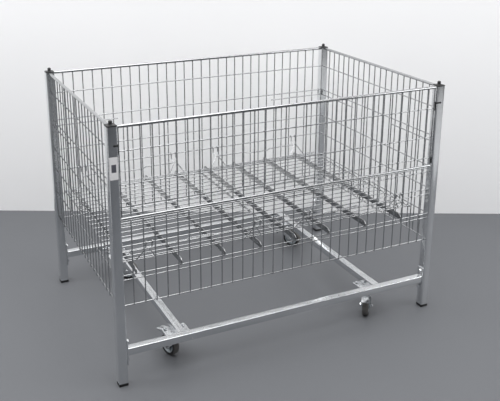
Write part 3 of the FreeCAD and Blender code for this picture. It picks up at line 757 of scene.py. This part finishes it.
def caster_fork(axle, braked):
    bm = bmesh.new()
    hub = (axle.x, axle.z)
    cheek = [(CROWN_BACK, CROWN_Z), (CROWN_FRONT, CROWN_Z)]
    cheek += arc(hub, AXLE_BOSS, FRONT_ANGLE, BACK_ANGLE, 12)
    cheek.append((CROWN_BACK, CROWN_Z - CROWN_LIP))
    for side in (-1, 1):
        y0, y1 = sorted((side * FORK_HALF, side * (FORK_HALF + CHEEK)))
        flat_shape(bm, cheek, y0, y1, 0.0009)
        if braked:
            pivot = (PEDAL_PIN.x, PEDAL_PIN.z)
            lug = [(0.018, CROWN_Z - 0.001), (0.022, CROWN_Z - 0.012)] + arc(pivot, LUG_RADIUS, -70, 100, 6)
            flat_shape(bm, lug, y0, y1, 0.0007)
    box_shape(bm, (CROWN_BACK, -FORK_HALF - 0.0005, CROWN_Z - CHEEK),
              (CROWN_FRONT, FORK_HALF + 0.0005, CROWN_Z), 0.0007)
    cup = [(KINGPIN_BORE, CROWN_Z - 0.001), (RACE, CROWN_Z - 0.001), (RACE, CROWN_Z + 0.003),
           (RACE - 0.001, RACE_SPLIT - 0.001), (RACE - 0.0025, RACE_SPLIT), (KINGPIN_BORE, RACE_SPLIT),
           (KINGPIN_BORE, CROWN_Z - 0.001)]
    turned(bm, cup, Vector((0, 0, 0)), Z, 40)
    if braked:
        face = FORK_HALF + CHEEK
        end = [(0, face + 0.0004), (0.0035, face + 0.0004), (0.0035, face - 0.0006), (0.0025, face - 0.001)]
        turned(bm, end + [(radius, -height) for radius, height in reversed(end)], PEDAL_PIN, Y, 16)
    return bm


def caster_axle(axle):
    bm = bmesh.new()
    out = FORK_HALF + CHEEK
    shank = [(0, -out - 0.001), (AXLE, -out - 0.001), (AXLE, out + 0.007), (AXLE - 0.0006, out + 0.008),
             (0, out + 0.008)]
    turned(bm, shank, axle, Y, 20)
    hexagon(bm, axle - Y * out, -Y, BOLT_ACROSS, AXLE_HEAD)
    hexagon(bm, axle + Y * out, Y, BOLT_ACROSS, AXLE_NUT)
    return bm


caster_zinc = zinc("zinc_caster", (1.0, 1.0, 1.0), 0.04, 0.8)
for name in CASTER_NAMES:
    place, axle = caster_place(name)
    body = "caster_" + name
    fork = caster_fork(axle, name in BRAKED)
    bmesh.ops.transform(fork, matrix=place, verts=fork.verts)
    add_piece("pressed_fork_" + name, fork, body, "caster_steel", caster_zinc, "caster_fork_" + name)
    bolt = caster_axle(axle)
    bmesh.ops.transform(bolt, matrix=place, verts=bolt.verts)
    add_piece("axle_bolt_" + name, bolt, body, "fasteners", bolt_zinc, "caster_axle_" + name)

    low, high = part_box("caster_plate_" + name)
    middle = (low + high) / 2
    sheet_z = high.z - CHEEK
    plate = bmesh.new()
    box_shape(plate, (low.x, low.y, sheet_z), high, PLATE_CORNER, 5,
              lambda e: abs(e.verts[0].co.z - e.verts[1].co.z) > 0.001)
    split = low.z
    cup = [(KINGPIN_BORE, split), (RACE - 0.0025, split), (RACE - 0.0008, split + 0.001),
           (RACE, split + 0.003), (RACE, sheet_z - 0.0015), (RACE + 0.001, sheet_z + 0.0002),
           (KINGPIN_BORE, sheet_z + 0.0002), (KINGPIN_BORE, split)]
    turned(plate, cup, Vector((middle.x, middle.y, 0)), Z, 40)
    add_piece("swivel_plate_" + name, plate, "frame", "caster_steel", caster_zinc, "caster_plate_" + name)

mounts = bmesh.new()
caster_bolts = bmesh.new()
low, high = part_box("caster_mount_plates")
for name in CASTER_NAMES:
    plate_low, plate_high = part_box("caster_plate_" + name)
    middle = (plate_low + plate_high) / 2
    box_shape(mounts, (plate_low.x, plate_low.y, low.z), (plate_high.x, plate_high.y, high.z), PLATE_EDGE)
    under = plate_high.z - CHEEK
    stem = [(0, under - 0.001), (PLATE_BOLT, under - 0.001), (PLATE_BOLT, high.z + 0.0065),
            (PLATE_BOLT - 0.0005, high.z + 0.007), (0, high.z + 0.007)]
    for i in (-1, 1):
        for j in (-1, 1):
            x, y = middle.x + i * CASTER_BOLT_AT[0], middle.y + j * CASTER_BOLT_AT[1]
            hexagon(caster_bolts, Vector((x, y, under)), -Z, PLATE_BOLT_ACROSS, PLATE_BOLT_HEAD)
            turned(caster_bolts, stem, Vector((x, y, 0)), Z, 14)
            hexagon(caster_bolts, Vector((x, y, high.z)), Z, PLATE_BOLT_ACROSS, PLATE_NUT)
add_piece("mount_plates", mounts, "frame", "zinc_tube", tube_zinc_z, "caster_mount_plates")
add_piece("plate_bolts", caster_bolts, "frame", "fasteners", bolt_zinc, "caster_bolts")

# ---------------------------------------------------------------------------------------------
# The wheels: a pale grey moulded hub with a dished, ribbed web, and a dark grey rubber tyre whose
# tread is scuffed paler than its side walls.
WHEEL = 0.0375
TYRE_HALF = 0.0115
SHOULDER = 0.004
RIM = 0.027
BOSS = 0.010
BOSS_HALF = 0.0146
HUB_BORE = 0.00405
WEB_HALF = 0.0045
RIBS = 6
RIB_HALF = TYRE_HALF - 0.003
SCUFF_DEPTH = 0.003
SCUFF_FADE = 0.002


def rubber():
    finish, shader, place = new_finish("tyre_rubber", Specular_IOR_Level=0.3)
    tree = finish.node_tree
    worn = Signal(tree, tree.nodes.new("ShaderNodeAttribute").outputs["Fac"])
    worn.socket.node.attribute_name = "worn"
    dust = place.noise(160.0, 4.0)
    grain = place.noise(1200.0, 2.0)
    feed(shader, Base_Color=(worn * (dust * 0.5 + 0.6)).mix((0.022, 0.022, 0.024), (0.15, 0.145, 0.138)),
         Roughness=dust * 0.2 + 0.6, Normal=bump(grain + dust, 0.3, 0.0004))
    return finish


def hub_plastic():
    finish, shader, place = new_finish("hub_plastic", Specular_IOR_Level=0.5)
    cloud = place.noise(60.0, 4.0)
    grain = place.noise(1500.0, 1.0)
    feed(shader, Base_Color=cloud.ramp(0.4, 0.8).mix((0.40, 0.45, 0.48), (0.33, 0.36, 0.38)),
         Roughness=grain * 0.15 + 0.32, Normal=bump(grain, 0.12, 0.0002))
    return finish


def tyre_shape(axle):
    bm = bmesh.new()
    worn = bm.verts.layers.float.new("worn")
    corners = arc((WHEEL - SHOULDER, TYRE_HALF - SHOULDER), SHOULDER, 90, 0, 4)
    half = [(RIM, TYRE_HALF - 0.0012), (RIM + 0.0015, TYRE_HALF)] + corners
    mirrored = [(radius, -height) for radius, height in reversed(half)]
    outline = half + [(WHEEL, 0.004), (WHEEL, -0.004)] + mirrored + [half[0]]
    turned(bm, outline, axle, Y, 64)
    for vert in bm.verts:
        reach = (vert.co - axle).xz.length
        vert[worn] = max(0.0, min(1.0, (reach - WHEEL + SCUFF_DEPTH) / SCUFF_FADE))
    return bm


def join(bm, part, place):
    """Adds a second bmesh to the first, moved to its place."""
    bmesh.ops.transform(part, matrix=place, verts=part.verts)
    loose = bpy.data.meshes.new("part")
    part.to_mesh(loose)
    part.free()
    bm.from_mesh(loose)
    bpy.data.meshes.remove(loose)


def hub_shape(axle):
    bm = bmesh.new()
    half = [(BOSS - 0.001, BOSS_HALF), (BOSS, BOSS_HALF - 0.001), (BOSS + 0.0004, WEB_HALF + 0.001),
            (BOSS + 0.0015, WEB_HALF), (RIM - 0.0065, WEB_HALF), (RIM - 0.005, WEB_HALF + 0.0012),
            (RIM - 0.0038, TYRE_HALF - 0.0012), (RIM - 0.0028, TYRE_HALF - 0.0004),
            (RIM - 0.0004, TYRE_HALF - 0.0004), (RIM, TYRE_HALF - 0.0012)]
    mirrored = [(radius, -height) for radius, height in reversed(half)]
    outline = [(HUB_BORE, BOSS_HALF)] + half + mirrored + [(HUB_BORE, -BOSS_HALF), (HUB_BORE, BOSS_HALF)]
    turned(bm, outline, axle, Y, 48)
    for i in range(RIBS):
        rib = bmesh.new()
        box_shape(rib, (BOSS - 0.001, -RIB_HALF, -0.001), (RIM - 0.004, RIB_HALF, 0.001), 0.0004)
        join(bm, rib, Matrix.Translation(axle) @ Matrix.Rotation(2 * math.pi * i / RIBS, 4, "Y"))
    return bm


tyre_finish = rubber()
hub_finish = hub_plastic()
for name in CASTER_NAMES:
    place, axle = caster_place(name)
    tyre = tyre_shape(axle)
    bmesh.ops.transform(tyre, matrix=place, verts=tyre.verts)
    add_piece("rubber_tyre_" + name, tyre, "wheel_" + name, "tyre_rubber", tyre_finish,
              "wheel_tyre_" + name)
    hub = hub_shape(axle)
    bmesh.ops.transform(hub, matrix=place, verts=hub.verts)
    add_piece("moulded_hub_" + name, hub, "wheel_" + name, "hub_plastic", hub_finish,
              "wheel_hub_" + name)

# ---------------------------------------------------------------------------------------------
# The two front casters have a pressed brake pedal: a tread that slopes down towards its toe, and
# two side flanges that carry it on its pin.
PEDAL_HALF = 0.0145
PEDAL_SHEET = 0.002

for name in BRAKED:
    place, axle = caster_place(name)
    x, z = PEDAL_PIN.x, PEDAL_PIN.z
    pedal = bmesh.new()
    tread = [(x - 0.005, z + 0.002), (x + 0.008, z + 0.0035), (x + 0.042, z - 0.004),
             (x + 0.042, z - 0.002), (x + 0.008, z + 0.006), (x - 0.005, z + 0.004)]
    flat_shape(pedal, tread, -PEDAL_HALF, PEDAL_HALF, 0.0004)
    flange = [(x - 0.005, z - 0.004), (x + 0.008, z - 0.005), (x + 0.030, z - 0.005),
              (x + 0.030, z - 0.001), (x + 0.008, z + 0.005), (x - 0.005, z + 0.0035)]
    for y0 in (-PEDAL_HALF, PEDAL_HALF - PEDAL_SHEET):
        flat_shape(pedal, flange, y0, y0 + PEDAL_SHEET, 0.0004)
    bmesh.ops.transform(pedal, matrix=place, verts=pedal.verts)
    add_piece("pressed_pedal_" + name, pedal, "pedal_" + name, "caster_steel", caster_zinc,
              "brake_pedal_" + name)

# ---------------------------------------------------------------------------------------------
# The wire floor comes in two halves that lift out. Long wires lie on flat bars set on edge, whose
# ends are rounded at the top, and a cross wire ties them at each end.
FLOOR_Z = 0.398
FLOOR_PITCH = 0.036
FLOOR_WIRES = 20
EDGE_STEP = 0.012
BAR_XS = {"left": (-0.527, -0.379, -0.231, -0.102), "right": (0.028, 0.157, 0.305, 0.453)}
BAR_THICK = 0.003
BAR_ROUND = 0.016
BAR_NOSE = 0.0025

# The flat bars' plating is darkened to 0.42 of the tubes': painted shade, for the dark floor their sides
# reflect and the shadow under the bin.
bar_zinc_painted_shade = zinc("zinc_flat_bar_painted_shade", (1.0, 0.4, 1.0), -0.02, 0.4, 0.42)
for name in ("left", "right"):
    body = "floor_" + name
    low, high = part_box("floor_mesh_" + name)
    edge = FLOOR_PITCH * (FLOOR_WIRES - 1) / 2
    lines = [-edge + FLOOR_PITCH * i for i in range(FLOOR_WIRES)] + [-edge + EDGE_STEP, edge - EDGE_STEP]
    grid = bmesh.new()
    end_z = FLOOR_Z - ROW_INSIDE
    ends = (low.x + WIRE / 2, high.x - WIRE / 2)
    for y in lines:
        bent_wire(grid, [(low.x, y, FLOOR_Z), (high.x, y, FLOOR_Z)], WIRE)
        for x in ends:
            weld_spot(grid, (x, y, FLOOR_Z - ROW_INSIDE / 2), Z)
        for x in BAR_XS[name]:
            weld_spot(grid, (x, y, FLOOR_Z - WIRE / 2), Z, 0.0022)
    for x in ends:
        bent_wire(grid, [(x, low.y, end_z), (x, high.y, end_z)], WIRE)
    add_piece("wire_floor_" + name, grid, body, "zinc_wire", wire_zinc_painted_shade, "floor_mesh_" + name)

    low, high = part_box("floor_bars_" + name)
    half = arc((high.y - BAR_ROUND, high.z - BAR_ROUND), BAR_ROUND, 90, 0, 8)
    half += [(high.y, low.z + BAR_NOSE), (high.y - BAR_NOSE, low.z)]
    outline = half + [(-y, z) for y, z in reversed(half)]
    bars = bmesh.new()
    for x in BAR_XS[name]:
        bar = bmesh.new()
        flat_shape(bar, outline, -BAR_THICK / 2, BAR_THICK / 2, 0.0004)
        join(bars, bar, Matrix.Translation((x, 0, 0)) @ Matrix.Rotation(math.radians(90), 4, "Z"))
    add_piece("flat_bars_" + name, bars, body, "zinc_bar", bar_zinc_painted_shade, "floor_bars_" + name)

# ---------------------------------------------------------------------------------------------
# Each half hangs on bent wire hangers, two at the front and two at the back, joined by a bail that
# bends inwards in the middle. Their prongs hook over a cross wire of the panel.
HANGER_XS = {"left": (-0.481, -0.111), "right": (0.074, 0.444)}
HANGER_ROW = 0.469
BAIL_Z = 0.438
PRONG = 0.010
FOOT_SPREAD = 0.032
BAIL_STEP = 0.018
BAIL_SLOPE = 0.022
HANGER_GAP = 0.0005
HANGER_TIP = 0.004
PRONG_RISE = 0.012
KNEE_OUT = 0.016
KNEE_SPREAD = 0.005

row_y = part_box("panel_back")[1].y - RAIL / 2 - ROW_INSIDE
reach = WIRE + HANGER_GAP
foot_y = FLOOR_PITCH * (FLOOR_WIRES - 1) / 2 + WIRE - SUNK
knee_y = foot_y + KNEE_OUT
for name, xs in HANGER_XS.items():
    for end_name, side in (("front", -1), ("back", 1)):
        hanger = bmesh.new()
        for x in xs:
            for t in (-1, 1):
                prong = x + t * PRONG
                over = [(prong, side * (row_y - reach * math.cos(math.radians(a))),
                         HANGER_ROW + reach * math.sin(math.radians(a))) for a in (0, 45, 90, 135, 180)]
                leg = [(x + t * FOOT_SPREAD, side * foot_y, FLOOR_Z),
                       (x + t * KNEE_SPREAD, side * knee_y, BAIL_Z),
                       (prong, side * (row_y - reach), BAIL_Z + PRONG_RISE)]
                tip = (prong, side * (row_y + reach), HANGER_ROW - HANGER_TIP)
                bent_wire(hanger, leg + over + [tip], WIRE, 0.006)
        first, last = xs
        third = (last - first) / 3
        front, back = side * knee_y, side * (knee_y - BAIL_STEP)
        bail = [(first - KNEE_SPREAD, front), (first + third, front), (first + third + BAIL_SLOPE, back),
                (last - third - BAIL_SLOPE, back), (last - third, front), (last + KNEE_SPREAD, front)]
        bent_wire(hanger, [(x, y, BAIL_Z) for x, y in bail], WIRE, 0.012)
        label = "%s_%s" % (name, end_name)
        add_piece("wire_hanger_" + label, hanger, "floor_" + name, "zinc_wire", wire_zinc_painted_shade,
                  "floor_hanger_" + label)

# ---------------------------------------------------------------------------------------------
# A plain white paper label is stuck on the front left post, with a dark square printed on it. The
# nuts and swivel rivets that can hardly be seen keep their shape and get a plated finish.
LABEL_WIDE = 0.025
LABEL_TOP = 0.760
LABEL_BOTTOM = 0.691
LABEL_THICK = 0.0003
SQUARE_HALF_WIDE = 0.0068
SQUARE_HALF_HIGH = 0.0118


def label_paper(centre):
    finish, shader, place = new_finish("label_paper", Specular_IOR_Level=0.4)
    grain = place.noise(700.0, 2.0)
    off = place.node("VectorMath", {0: place, 1: centre}, operation="SUBTRACT")
    parts = off.node("SeparateXYZ", {0: off})
    across = parts.node("Math", {0: parts}, operation="ABSOLUTE")
    up = Signal(parts.tree, parts.socket.node.outputs[2])
    height = up.node("Math", {0: up}, operation="ABSOLUTE")
    sides = across.ramp(SQUARE_HALF_WIDE, SQUARE_HALF_WIDE + 0.0005)
    ends = height.ramp(SQUARE_HALF_HIGH, SQUARE_HALF_HIGH + 0.0007)
    square = (1 - sides) * (1 - ends)
    feed(shader, Base_Color=square.mix((0.86, 0.85, 0.86), (0.10, 0.10, 0.12)),
         Roughness=grain * 0.1 + 0.42)
    return finish


low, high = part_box("post_front_left")
centre = Vector(((low.x + high.x) / 2, low.y, (LABEL_TOP + LABEL_BOTTOM) / 2))
label = bmesh.new()
box_shape(label, (centre.x - LABEL_WIDE / 2, low.y - LABEL_THICK, LABEL_BOTTOM),
          (centre.x + LABEL_WIDE / 2, low.y + 0.0001, LABEL_TOP), 0.002, 4,
          lambda e: abs(e.verts[0].co.y - e.verts[1].co.y) > 0.0003)
add_piece("blank_label", label, "frame", None, label_paper(centre))

for node in ("rail_nuts", "caster_kingpins"):
    mesh = frame["nodes"][node].data
    mesh.materials.clear()
    mesh.materials.append(bolt_zinc)

low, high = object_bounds()
